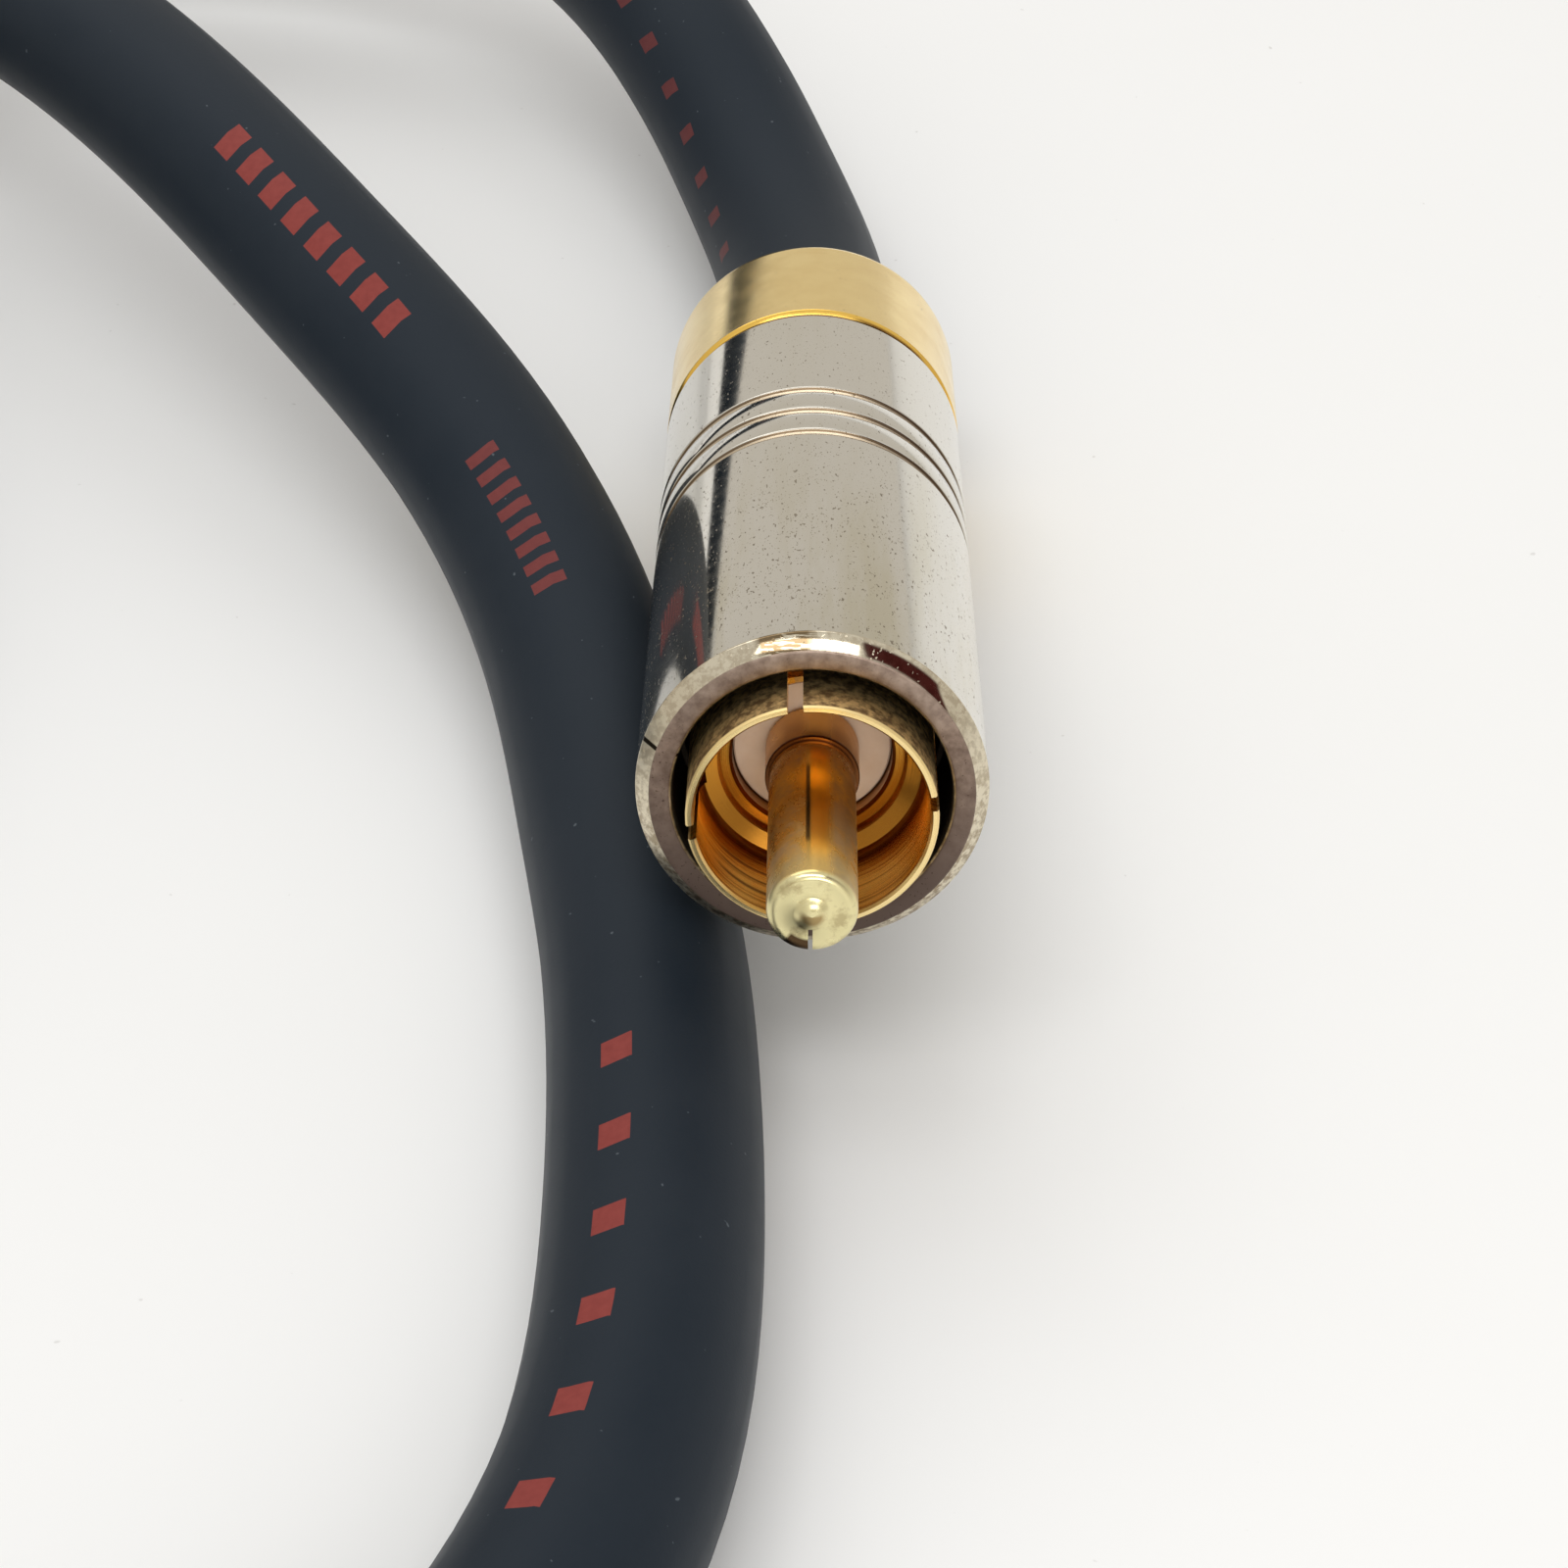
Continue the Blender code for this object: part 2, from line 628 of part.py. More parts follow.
def make_coil():
    """The outer shape of three turns side by side, turned about the coil's own axis."""
    height = FLOOR_GAP + CABLE_RADIUS
    outline = []
    for turn_radius, first, last in (
        (COIL_OUTER_TURN_RADIUS, -4, 4),
        (COIL_MIDDLE_TURN_RADIUS, 2, 4),
        (COIL_INNER_TURN_RADIUS, 2, 10),
        (COIL_MIDDLE_TURN_RADIUS, 8, 10),
    ):
        for k in range(first, last + 1):
            across = CABLE_RADIUS * math.cos(k * COIL_FACET)
            up = CABLE_RADIUS * math.sin(k * COIL_FACET)
            outline.append((turn_radius + across, height + up))
    shape = bmesh.new()
    loop = [shape.verts.new((radius, 0.0, z)) for radius, z in outline]
    edges = [shape.edges.new((a, b)) for a, b in zip(loop, loop[1:] + loop[:1])]
    bmesh.ops.spin(
        shape,
        geom=[*loop, *edges],
        cent=(0, 0, 0),
        axis=(0, 0, 1),
        angle=2 * math.pi,
        steps=COIL_STEPS,
        use_merge=True,
    )
    bmesh.ops.remove_doubles(shape, verts=shape.verts, dist=0.001 * MM)
    bmesh.ops.recalc_face_normals(shape, faces=shape.faces)
    mesh = bpy.data.meshes.new("cable_coil")
    shape.to_mesh(mesh)
    shape.free()
    smooth(mesh)
    coil = link("cable_coil", mesh, jacket_rubber(), None)
    coil.location = (COIL_CENTRE_X, COIL_CENTRE_Y, 0.0)


clear_objects()
make_plug("near", near_exit(), (-NEAR_TILT, 0.0, 0.0))
make_plug("far", far_exit(), (0.0, 0.0, FAR_HEADING + math.radians(90.0)))
near_start = straight_from(near_exit(), near_rearward(), STRAIGHT_AT_NEAR_PLUG)
far_end = straight_from(far_exit(), far_rearward(), STRAIGHT_AT_FAR_PLUG)[::-1]
make_run("cable_near_run", near_start, NEAR_ROUTE, [])
make_coil()
make_run("cable_far_run", [], FAR_ROUTE, far_end)
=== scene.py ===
"""Digital coaxial cable on a pale table top: looks for the part's solids.

Lengths are in metres, and sizes with "* MM" are in millimetres. Each plug is built along its own
Y axis, with y = 0 where the lead comes out of it and the pin towards -Y, and is then put in place.
"""

import math

import bpy
import numpy as np
from mathutils import Euler, Matrix, Vector


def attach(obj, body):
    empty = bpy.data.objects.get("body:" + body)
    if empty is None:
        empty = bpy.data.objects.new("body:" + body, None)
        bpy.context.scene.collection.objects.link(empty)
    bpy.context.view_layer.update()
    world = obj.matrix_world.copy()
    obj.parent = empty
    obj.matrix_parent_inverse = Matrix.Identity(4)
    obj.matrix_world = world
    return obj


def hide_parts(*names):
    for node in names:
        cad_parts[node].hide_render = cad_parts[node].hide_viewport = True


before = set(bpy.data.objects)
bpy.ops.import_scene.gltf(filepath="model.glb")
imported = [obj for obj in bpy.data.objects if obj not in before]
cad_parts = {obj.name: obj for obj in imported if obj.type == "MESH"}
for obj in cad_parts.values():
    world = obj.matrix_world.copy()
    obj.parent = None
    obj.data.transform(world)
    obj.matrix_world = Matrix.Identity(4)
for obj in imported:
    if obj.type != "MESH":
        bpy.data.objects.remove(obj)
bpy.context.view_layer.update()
bpy.ops.object.select_all(action="DESELECT")


# Camera at the photograph's viewing angle: 40 degrees down on the plug's mouth.
# Its angle of view and its place were fitted to the circles of the barrel, the ring and the pin.
camera_data = bpy.data.cameras.new("camera")
camera_data.sensor_width = 36.0
camera_data.lens = 78.19
camera_data.clip_start = 0.005
camera_data.clip_end = 5.0
camera = bpy.data.objects.new("camera", camera_data)
bpy.context.collection.objects.link(camera)
camera.location = (-0.00030, -0.11093, 0.09421)
camera.rotation_euler = (math.radians(49.87), 0.0, math.radians(0.443))
bpy.context.scene.camera = camera
bpy.context.scene.view_settings.view_transform = "Standard"


# Table top: a plain pale board with a few specks of dust, large enough to fill the picture.
# It keeps the plug's soft shadow.
def put(tree, value, socket):
    """Join a socket to another one, or set it to a number, a size or a colour."""
    if isinstance(value, bpy.types.NodeSocket):
        tree.links.new(value, socket)
    elif socket.type == "RGBA":
        socket.default_value = (*value, 1.0)
    else:
        socket.default_value = value


def feed(tree, node, **inputs):
    """Put values into a node's inputs by name, with _ for a space, and give its outputs."""
    for label, value in inputs.items():
        put(tree, value, node.inputs[label.replace("_", " ")])
    return node.outputs


def new_material(name, colour, metallic, roughness):
    """A Principled material, with its node tree and its shader."""
    made = bpy.data.materials.new(name)
    made.use_nodes = True
    shader = made.node_tree.nodes["Principled BSDF"]
    feed(made.node_tree, shader, Base_Color=colour, Metallic=metallic, Roughness=roughness)
    return made, made.node_tree, shader


def noise(tree, source, scale, detail=2.0, roughness=0.5):
    made = tree.nodes.new("ShaderNodeTexNoise")
    return feed(tree, made, Vector=source, Scale=scale, Detail=detail, Roughness=roughness)["Fac"]


def ramp(tree, source, low, high, start=0.0, end=1.0):
    """Map a value from low..high to start..end, held at both ends."""
    made = tree.nodes.new("ShaderNodeMapRange")
    feed(tree, made, Value=source, From_Min=low, From_Max=high, To_Min=start, To_Max=end)
    return made.outputs["Result"]


def blend(tree, factor, first, second):
    """Mix two colours."""
    made = tree.nodes.new("ShaderNodeMix")
    made.data_type = "RGBA"
    return feed(tree, made, Factor=factor, A=first, B=second)["Result"]


def math_node(tree, operation, first, *others):
    """One operation on a value, or on several from left to right."""
    for other in others or (0.0,):
        made = tree.nodes.new("ShaderNodeMath")
        made.operation = operation
        put(tree, first, made.inputs[0])
        put(tree, other, made.inputs[1])
        first = made.outputs["Value"]
    return first


def times(tree, *masks):
    """Where all the masks hold; a plain number among them weakens the result."""
    return math_node(tree, "MULTIPLY", *masks)


def new_group(name, inputs, outputs):
    """A shader node group with named sockets, and the nodes at its start and its end."""
    made = bpy.data.node_groups.new(name, "ShaderNodeTree")
    for in_out, sockets in (("INPUT", inputs), ("OUTPUT", outputs)):
        for label, kind in sockets.items():
            made.interface.new_socket(label, in_out=in_out, socket_type=f"NodeSocket{kind}")
    return made, made.nodes.new("NodeGroupInput").outputs, made.nodes.new("NodeGroupOutput")


def place_group(tree, group, **inputs):
    made = tree.nodes.new("ShaderNodeGroup")
    made.node_tree = group
    return feed(tree, made, **inputs)


# Specks: small separate dots, for dust, pits and spots in a plate
SPECKS, start, end = new_group(
    "specks", {"Vector": "Vector", "Scale": "Float", "Amount": "Float"}, {"Mask": "Float"}
)
dots = noise(SPECKS, start["Vector"], start["Scale"], detail=1.0)
least = math_node(SPECKS, "SUBTRACT", 1.0, start["Amount"])
above = math_node(SPECKS, "SUBTRACT", dots, least)
feed(SPECKS, end, Mask=ramp(SPECKS, above, 0.0, 0.03))


def specks(tree, vector, scale, amount):
    return place_group(tree, SPECKS, Vector=vector, Scale=scale, Amount=amount)["Mask"]


# Mottle: soft cloudy patches, for stain, tarnish and bloom
MOTTLE, start, end = new_group(
    "mottle",
    {"Vector": "Vector", "Scale": "Float", "Low": "Float", "High": "Float"},
    {"Mask": "Float"},
)
cloud = noise(MOTTLE, start["Vector"], start["Scale"], detail=5.0, roughness=0.62)
feed(MOTTLE, end, Mask=ramp(MOTTLE, cloud, start["Low"], start["High"]))


def mottle(tree, vector, scale, low, high):
    return place_group(tree, MOTTLE, Vector=vector, Scale=scale, Low=low, High=high)["Mask"]


bpy.ops.mesh.primitive_plane_add(size=4.0, location=(0, 0, 0))
table = bpy.context.object
table.name = "table_top"
finish, tree, shader = new_material("table_paint", (0.86, 0.86, 0.845), 0.0, 0.8)
place = tree.nodes.new("ShaderNodeTexCoord").outputs["Object"]
cloud = mottle(tree, place, 9.0, 0.3, 0.7)
tone = blend(tree, cloud, (0.85, 0.858, 0.858), (0.87, 0.878, 0.883))
dust = times(tree, specks(tree, place, 1500.0, 0.20), 0.35)
feed(tree, shader, Base_Color=blend(tree, dust, tone, (0.45, 0.44, 0.42)))
table.data.materials.append(finish)


# Light: a pale room, a wide soft box high behind the plug, a strip overhead and a fill in front.
# The room is duller low down than high up and has a dark corner, for bright plate to show.
def axes(tree, vector):
    """A vector's X, Y and Z."""
    return feed(tree, tree.nodes.new("ShaderNodeSeparateXYZ"), Vector=vector)


def band(tree, source, rise, fall):
    """1 where a value lies between a rising edge and a falling one, each a (low, high) range."""
    return times(tree, ramp(tree, source, *rise), ramp(tree, source, *fall, 1.0, 0.0))


world = bpy.data.worlds.new("room")
world.use_nodes = True
tree = world.node_tree
aim = axes(tree, tree.nodes.new("ShaderNodeTexCoord").outputs["Generated"])
high_up = ramp(tree, aim["Z"], 0.40, 0.60)
room = blend(tree, high_up, (0.88, 0.835, 0.765), (1.0, 0.975, 0.935))
corner = times(
    tree,
    band(tree, aim["X"], (0.39, 0.41), (0.89, 0.91)),
    band(tree, aim["Y"], (-0.48, -0.42), (-0.15, -0.09)),
)
room = blend(tree, corner, room, (0.09, 0.02, 0.02))
feed(tree, tree.nodes["Background"], Color=room, Strength=0.75)
bpy.context.scene.world = world
for name, watts, width, height, stands, aims in (
    ("key_box", 0.55, 0.50, 0.30, (-0.14, 0.30, 0.45), (0.0, 0.0, 0.0)),
    ("strip", 0.60, 0.40, 0.12, (-0.02, -0.165, 0.45), (0.0, 0.0, 0.0)),
    ("fill", 0.75, 0.35, 0.25, (0.10, -0.55, 0.30), (0.0, -0.02, 0.01)),
):
    lamp_data = bpy.data.lights.new(name, "AREA")
    lamp_data.shape = "RECTANGLE"
    lamp_data.size = width
    lamp_data.size_y = height
    lamp_data.energy = watts
    lamp = bpy.data.objects.new(name, lamp_data)
    bpy.context.collection.objects.link(lamp)
    lamp.location = stands
    lamp.rotation_euler = (Vector(aims) - Vector(stands)).to_track_quat("-Z", "Y").to_euler()


# The lead: a thick soft-jacketed coaxial cable, 8 mm across and 1.19 m long.
# From the near plug it climbs onto a flat coil of three turns, comes off it on the table, passes
# under the near plug's front and climbs to the far plug, which lies on the coil.
MM = 0.001
THICKNESS = 8.0  # the lead's, in millimetres
CABLE_RADIUS = THICKNESS / 2 * MM
NEAR_TILT = math.radians(10.7)
ROUNDING_REACH = 5.5 * MM  # from the plug's axis to the middle of the collar's 1 mm rounding
NEAR_EXIT = Vector(
    (0.0, 0.02333, (1 - math.sin(NEAR_TILT)) * MM + ROUNDING_REACH * math.cos(NEAR_TILT))
)
NEAR_REARWARD = Vector((0.0, math.cos(NEAR_TILT), -math.sin(NEAR_TILT)))
FAR_HEADING = math.radians(188.0)
FAR_EXIT = Vector((-0.0650, 0.0532, 0.01485))
FAR_REARWARD = Vector((-math.cos(FAR_HEADING), -math.sin(FAR_HEADING), 0.0))

# From the near plug up to the coil
route = [NEAR_EXIT + NEAR_REARWARD * at for at in (-0.0017, 0.0, 0.004)]
route += [
    (-0.0013, 0.0372, 0.00490),
    (-0.0029, 0.0425, 0.00570),
    (-0.0047, 0.0470, 0.00710),
    (-0.0067, 0.0510, 0.00850),
    (-0.0090, 0.0550, 0.00970),
    (-0.0136, 0.0611, 0.01100),
    (-0.0205, 0.0664, 0.01190),
    (-0.0300, 0.0699, 0.01220),
    (-0.0420, 0.0708, 0.01230),
    (-0.0550, 0.0696, 0.01240),
    (-0.0680, 0.0673, 0.01240),
    (-0.0820, 0.0645, 0.01240),
    (-0.0962, 0.0614, 0.01240),
    (-0.1086, 0.0573, 0.01240),
    (-0.1186, 0.0508, 0.01240),
    (-0.1266, 0.0417, 0.01240),
]


def ease(value, first, last, start, end):
    """Go smoothly from start to end while value goes from first to last."""
    share = min(max((value - first) / (last - first), 0.0), 1.0)
    return start + (end - start) * (3 * share**2 - 2 * share**3)


# Down onto the table and outwards through three turns; radii and heights are in millimetres
COIL_MIDDLE = (-0.0904, 0.0075)
INNERMOST, ON_COIL, ON_TABLE = 29.0, 12.4, 4.05
for degrees in range(150, 1300, 10):
    radius = ease(degrees, 115, 300, 50.8, INNERMOST)
    radius += ease(degrees, 590, 700, 0.0, THICKNESS) + ease(degrees, 950, 1060, 0.0, THICKNESS)
    height = ease(degrees, 258, 368, ON_COIL, ON_TABLE)
    gone_round = math.radians(degrees)
    route.append(
        (
            COIL_MIDDLE[0] + radius * MM * math.cos(gone_round),
            COIL_MIDDLE[1] + radius * MM * math.sin(gone_round),
            height * MM,
        )
    )

# Off the coil, round under the near plug's front and up to the far plug
route += [
    (-0.1170, -0.0343, 0.00405),
    (-0.1056, -0.0446, 0.00405),
    (-0.0905, -0.0532, 0.00405),
    (-0.0730, -0.0600, 0.00405),
    (-0.0540, -0.0643, 0.00405),
    (-0.0370, -0.0652, 0.00405),
    (-0.0225, -0.0609, 0.00405),
    (-0.0126, -0.0523, 0.00405),
    (-0.0070, -0.0415, 0.00410),
    (-0.0056, -0.0275, 0.00410),
    (-0.0065, -0.0146, 0.00415),
    (-0.0080, -0.0059, 0.00420),
    (-0.0098, 0.0025, 0.00500),
    (-0.0126, 0.0102, 0.00650),
    (-0.0166, 0.0172, 0.00830),
    (-0.0228, 0.0252, 0.01070),
    (-0.0301, 0.0343, 0.01290),
    (-0.0394, 0.0442, 0.01440),
    (-0.0499, 0.0514, 0.01480),
]
route += [FAR_EXIT + FAR_REARWARD * at for at in (0.001, 0.0, -0.0017)]


def lengths_along(points):
    """How far along a line each of its points is."""
    steps = np.linalg.norm(np.diff(points, axis=0), axis=1)
    return np.concatenate([[0.0], np.cumsum(steps)])


def smooth_curve(points, samples=40):
    """A natural cubic spline through the points, with samples on each stretch between two."""
    through = np.array([tuple(p) for p in points])
    knots = lengths_along(through)
    step = np.diff(knots)
    count = len(knots)
    system, right = np.zeros((count, count)), np.zeros((count, 3))
    system[0, 0] = system[-1, -1] = 1.0
    for k in range(1, count - 1):
        system[k, k - 1 : k + 2] = step[k - 1], 2 * (step[k - 1] + step[k]), step[k]
        slopes = np.diff(through[k - 1 : k + 2], axis=0) / step[k - 1 : k + 1, None]
        right[k] = 6 * (slopes[1] - slopes[0])
    bend = np.linalg.solve(system, right)
    fine = []
    for k in range(count - 1):
        for at in np.linspace(0.0, step[k], samples, endpoint=k == count - 2):
            rest = step[k] - at
            fine.append(
                (bend[k] * rest**3 + bend[k + 1] * at**3) / (6 * step[k])
                + (through[k] / step[k] - bend[k] * step[k] / 6) * rest
                + (through[k + 1] / step[k] - bend[k + 1] * step[k] / 6) * at
            )
    return np.array(fine)


def points_of(mesh):
    """Where a mesh's points are."""
    found = np.empty(len(mesh.vertices) * 3)
    mesh.vertices.foreach_get("co", found)
    return found.reshape(-1, 3)


def keep(mesh, name, values):
    """Keep a vector for each of a mesh's points, for its material to read."""
    kept = mesh.attributes.new(name, "FLOAT_VECTOR", "POINT")
    kept.data.foreach_set("vector", values.ravel())


def kept_vector(tree, name):
    made = tree.nodes.new("ShaderNodeAttribute")
    made.attribute_name = name
    return made.outputs["Vector"]


fine = smooth_curve(route)
along = lengths_along(fine)
CABLE_LENGTH = along[-1]
RINGS_OF_POINTS = 760
stations = np.linspace(0.0, CABLE_LENGTH, RINGS_OF_POINTS)
centres = np.stack([np.interp(stations, along, fine[:, k]) for k in range(3)], axis=1)
lead_curve = bpy.data.curves.new("lead", "CURVE")
lead_curve.dimensions = "3D"
lead_curve.bevel_depth = CABLE_RADIUS
lead_curve.bevel_resolution = 8
lead_curve.use_fill_caps = True
spline = lead_curve.splines.new("POLY")
spline.points.add(RINGS_OF_POINTS - 1)
for point, centre in zip(spline.points, centres):
    point.co = (*centre, 1.0)
lead = bpy.data.objects.new("lead", lead_curve)
bpy.context.collection.objects.link(lead)
bpy.context.view_layer.objects.active = lead
lead.select_set(True)
bpy.ops.object.convert(target="MESH")
lead = bpy.context.object
bpy.ops.object.shade_smooth_by_angle(angle=math.radians(40.0))

# Where each point of the jacket is: sideways and upwards of the middle in radii of the lead, which
# give its angle round the lead, and millimetres along the lead
tangents = np.gradient(centres, axis=0)
tangents /= np.linalg.norm(tangents, axis=1)[:, None]
sides = np.cross(tangents, (0.0, 0.0, 1.0))
sides /= np.linalg.norm(sides, axis=1)[:, None]
tops = np.cross(sides, tangents)
places = points_of(lead.data)
per_ring = len(places) // RINGS_OF_POINTS
ring = np.minimum(np.arange(len(places)) // per_ring, RINGS_OF_POINTS - 1)
out = (places - centres[ring]) / CABLE_RADIUS
sideways = np.einsum("ij,ij->i", out, sides[ring])
upwards = np.einsum("ij,ij->i", out, tops[ring])
keep(lead.data, "lead_place", np.stack([sideways, upwards, stations[ring] / MM], axis=1))


def away(tree, value, middle=0.0):
    """How far a value is from a middle one, either way."""
    return math_node(tree, "ABSOLUTE", math_node(tree, "SUBTRACT", value, middle))


def bump(tree, height, distance, strength):
    made = tree.nodes.new("ShaderNodeBump")
    return feed(tree, made, Height=height, Distance=distance, Strength=strength)["Normal"]


# Jacket: matt blue-black, with pale lint and a dull bloom. Marks are printed on it in dull red:
# squares of about 1 mm, and on the stretch to the far plug also two rows of plain bars.
finish, tree, shader = new_material("jacket", (0.021, 0.030, 0.042), 0.0, 0.5)
place = tree.nodes.new("ShaderNodeTexCoord").outputs["Object"]
own = axes(tree, kept_vector(tree, "lead_place"))
round_it = math_node(tree, "ARCTAN2", own["X"], own["Y"])
station = own["Z"]
from_far_end = math_node(tree, "SUBTRACT", CABLE_LENGTH / MM, station)
SLANT = 0.8  # how far a mark leans along the lead, in millimetres for each radian round it
rows = []
# A row's first and last place, its pitch and the middle and half length of a mark are in
# millimetres; a mark's half width and the row's angle and twist round the lead are in radians.
for along_it, first, last, pitch, middle, half_long, half_wide, angle, twist in (
    (station, 8.0, 40.0, 3.30, 22.9, 0.46, 0.115, -1.42, 0.0145),
    (from_far_end, 103.5, 140.0, 4.13, 117.9, 0.62, 0.150, -0.345, 0.0),
    (from_far_end, 68.6, 78.4, 1.20, 69.3, 0.32, 0.190, -1.41, 0.0145),
    (from_far_end, 45.7, 60.8, 1.90, 46.6, 0.56, 0.210, -0.24, -0.0020),
):
    line = math_node(tree, "ADD", times(tree, along_it, twist), angle)
    side = math_node(tree, "SUBTRACT", round_it, line)
    slanted = math_node(tree, "ADD", along_it, times(tree, side, SLANT))
    step = math_node(tree, "SUBTRACT", slanted, middle)
    step = math_node(tree, "PINGPONG", step, pitch / 2)
    rows.append(
        times(
            tree,
            math_node(tree, "LESS_THAN", away(tree, side), half_wide),
            math_node(tree, "LESS_THAN", step, half_long),
            math_node(tree, "GREATER_THAN", along_it, first),
            math_node(tree, "LESS_THAN", along_it, last),
        )
    )
printed = math_node(tree, "MAXIMUM", *rows)
bloom = mottle(tree, place, 170.0, 0.3, 0.7)
base = blend(tree, bloom, (0.008, 0.0145, 0.0235), (0.013, 0.0195, 0.0285))
lint = times(tree, specks(tree, place, 2600.0, 0.225), 0.6)
base = blend(tree, lint, base, (0.11, 0.13, 0.15))
ink = blend(tree, noise(tree, place, 3000.0), (0.19, 0.030, 0.026), (0.26, 0.048, 0.040))
# the bars next to the squares, and the squares by the near plug, are worn fainter
faint = math_node(
    tree,
    "MAXIMUM",
    ramp(tree, away(tree, from_far_end, 74.0), 5.5, 6.5, 0.35, 0.0),
    ramp(tree, station, 40.0, 45.0, 0.55, 0.0),
)
ink = blend(tree, faint, ink, (0.015, 0.018, 0.026))
feed(
    tree,
    shader,
    Base_Color=blend(tree, printed, base, ink),
    Roughness=ramp(tree, bloom, 0.0, 1.0, 0.52, 0.62),
    Normal=bump(tree, noise(tree, place, 9000.0), 0.03 * MM, 0.12),
    Specular_IOR_Level=0.18,
    Sheen_Weight=0.06,
    Sheen_Roughness=0.4,
)
lead.data.materials.append(finish)
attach(lead, "root")
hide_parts("cable_near_run", "cable_coil", "cable_far_run")


# Barrel: turned brass shell with a mirror-bright nickel-silver plate, its front face rubbed dull.
# Chamfered at the front, with three grip grooves near the rear; the ground body screws into it.
REAR = 40.15  # the collar's rear end, in millimetres behind the barrel's front face
ON_AXIS = 0.02  # the smallest radius that turn() draws, in millimetres


def turn(name, outline, sides):
    """A piece turned about Y: a ring of edges drawn from point to point of (radius, station).

    Radii and stations are in millimetres, and stations run back from the barrel's front face.
    An outline that starts at the axis is closed there by a face, and any other runs back to its
    start.
    """
    bpy.ops.object.select_all(action="DESELECT")
    radius, station = outline[0]
    bpy.ops.mesh.primitive_circle_add(
        vertices=sides,
        radius=radius * MM,
        location=(0, (station - REAR) * MM, 0),
        rotation=(math.radians(90), 0, 0),
    )
    piece = bpy.context.object
    piece.name = name
    bpy.ops.object.transform_apply()
    bpy.ops.object.mode_set(mode="EDIT")
    bpy.ops.mesh.select_all(action="SELECT")
    following = outline[1:]
    if radius > ON_AXIS:
        following = following + outline[:1]
    else:
        bpy.ops.mesh.edge_face_add()
    for next_radius, next_station in following:
        bpy.ops.mesh.extrude_region_move()
        size = next_radius / radius
        bpy.ops.transform.resize(
            value=(size, 1, size), center_override=(0, (station - REAR) * MM, 0)
        )
        bpy.ops.transform.translate(value=(0, (next_station - station) * MM, 0))
        radius, station = next_radius, next_station
    bpy.ops.mesh.select_all(action="SELECT")
    bpy.ops.mesh.remove_doubles(threshold=0.002 * MM)
    bpy.ops.mesh.normals_make_consistent(inside=False)
    bpy.ops.object.mode_set(mode="OBJECT")
    return piece


def soften(piece, width):
    """Break the sharp edges by a width in millimetres."""
    edge = piece.modifiers.new("edges", "BEVEL")
    edge.width = width * MM
    edge.segments = 2
    edge.limit_method = "ANGLE"
    edge.angle_limit = math.radians(28)
    edge.use_clamp_overlap = True
    bpy.context.view_layer.objects.active = piece
    bpy.ops.object.modifier_apply(modifier=edge.name)


def box_cut(piece, low, high, turned=0.0):
    """Cut a box, given in millimetres by its corners, out of a piece; it is turned about Y."""
    bpy.ops.object.select_all(action="DESELECT")
    bpy.ops.mesh.primitive_cube_add(size=1.0)
    cutter = bpy.context.object
    cutter.scale = [(high[k] - low[k]) * MM for k in range(3)]
    cutter.location = [(high[k] + low[k]) / 2 * MM for k in range(3)]
    bpy.ops.object.transform_apply()
    cutter.rotation_euler = (0, turned, 0)
    bpy.ops.object.transform_apply()
    cut = piece.modifiers.new("cut", "BOOLEAN")
    cut.operation = "DIFFERENCE"
    cut.solver = "EXACT"
    cut.object = cutter
    bpy.context.view_layer.objects.active = piece
    bpy.ops.object.modifier_apply(modifier=cut.name)
    bpy.data.objects.remove(cutter)


NEAR_PLACE = Matrix.Translation(NEAR_EXIT) @ Euler((-NEAR_TILT, 0, 0)).to_matrix().to_4x4()
FAR_PLACE = (
    Matrix.Translation(FAR_EXIT)
    @ Euler((0, 0, FAR_HEADING + math.radians(90))).to_matrix().to_4x4()
)


def fit_both(piece, node):
    """Keep each point's place on the plug, in millimetres, then put one piece on each plug."""
    bpy.ops.object.select_all(action="DESELECT")
    piece.select_set(True)
    bpy.context.view_layer.objects.active = piece
    bpy.ops.object.shade_smooth_by_angle(angle=math.radians(30.0))
    even = piece.modifiers.new("even", "WEIGHTED_NORMAL")
    even.keep_sharp = True
    bpy.ops.object.modifier_apply(modifier=even.name)
    keep(piece.data, "plug_place", points_of(piece.data) / MM + (0, REAR, 0))
    twin = piece.copy()
    twin.data = piece.data.copy()
    bpy.context.collection.objects.link(twin)
    for made, side, at in ((piece, "near", NEAR_PLACE), (twin, "far", FAR_PLACE)):
        made.name = f"{side}_{node}_dressed"
        made.data.transform(at)
        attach(made, "root")
        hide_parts(f"{side}_{node}")


# The plug's own measure: each point in mm, its distance from the axis, its turn from the top and
# its station behind the barrel's front face
PLUG_PLACE, start, end = new_group(
    "plug_place", {}, {"Point": "Vector", "Radius": "Float", "Turn": "Float", "Station": "Float"}
)
point = kept_vector(PLUG_PLACE, "plug_place")
own = axes(PLUG_PLACE, point)
across = PLUG_PLACE.nodes.new("ShaderNodeCombineXYZ")
reach = PLUG_PLACE.nodes.new("ShaderNodeVectorMath")
reach.operation = "LENGTH"
put(PLUG_PLACE, feed(PLUG_PLACE, across, X=own["X"], Z=own["Z"])["Vector"], reach.inputs[0])
feed(
    PLUG_PLACE,
    end,
    Point=point,
    Radius=reach.outputs["Value"],
    Turn=math_node(PLUG_PLACE, "ARCTAN2", own["X"], own["Z"]),
    Station=own["Y"],
)


def plug_place(tree):
    found = place_group(tree, PLUG_PLACE)
    return found["Point"], found["Radius"], found["Turn"], found["Station"]


